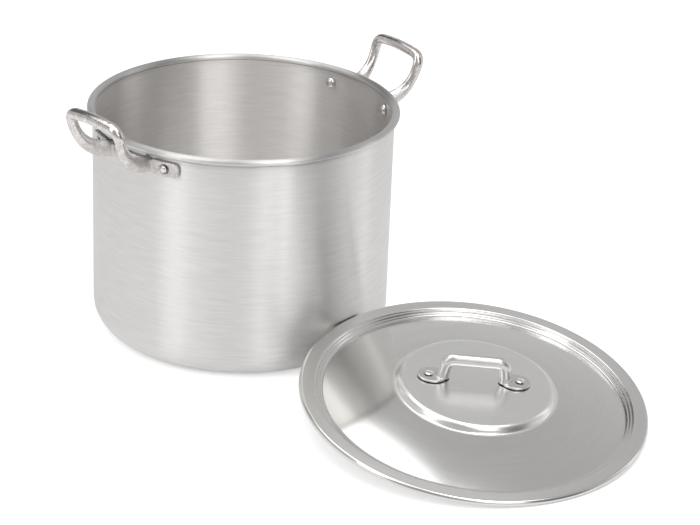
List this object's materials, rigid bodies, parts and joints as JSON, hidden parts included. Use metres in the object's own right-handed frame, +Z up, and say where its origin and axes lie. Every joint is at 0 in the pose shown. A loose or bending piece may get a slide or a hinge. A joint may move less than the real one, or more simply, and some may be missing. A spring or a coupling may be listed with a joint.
{
  "type": "stock pot with lid",
  "caption": "Deep straight-sided aluminium cooking pot with a rolled rim, riveted cast side handles and a loose domed lid with a bent-rod handle, lid laid against the pot.",
  "frame": {"origin": "centre of the pot's base, on the surface that it stands on", "axes": "+Z up along the pot's axis, +X towards the right-hand side handle, -Y towards the lid that lies in front"},
  "size_m": [0.3791, 0.5993, 0.2534],
  "materials": {
    "pot": "brushed round the pot, satin",
    "handle": "cast, tumbled, polished along the loop",
    "rivet": "bright",
    "lid": "spun, satin",
    "lid_handle": "polished"
  },
  "bodies": {
    "pot": {"pot_body": "pot", "side_handle_right": "handle", "side_handle_left": "handle", "handle_rivet_right_1": "rivet", "handle_rivet_right_2": "rivet", "handle_rivet_left_1": "rivet", "handle_rivet_left_2": "rivet"},
    "lid": {"lid": "lid", "lid_handle": "lid_handle", "lid_rivet_1": "rivet", "lid_rivet_2": "rivet"}
  },
  "joints": [
    {"name": "lid_lift", "type": "slide", "parent": "pot", "child": "lid", "axis": [-0.0283, -0.1389, 0.9899], "range_m": [0, 0.28]}
  ]
}
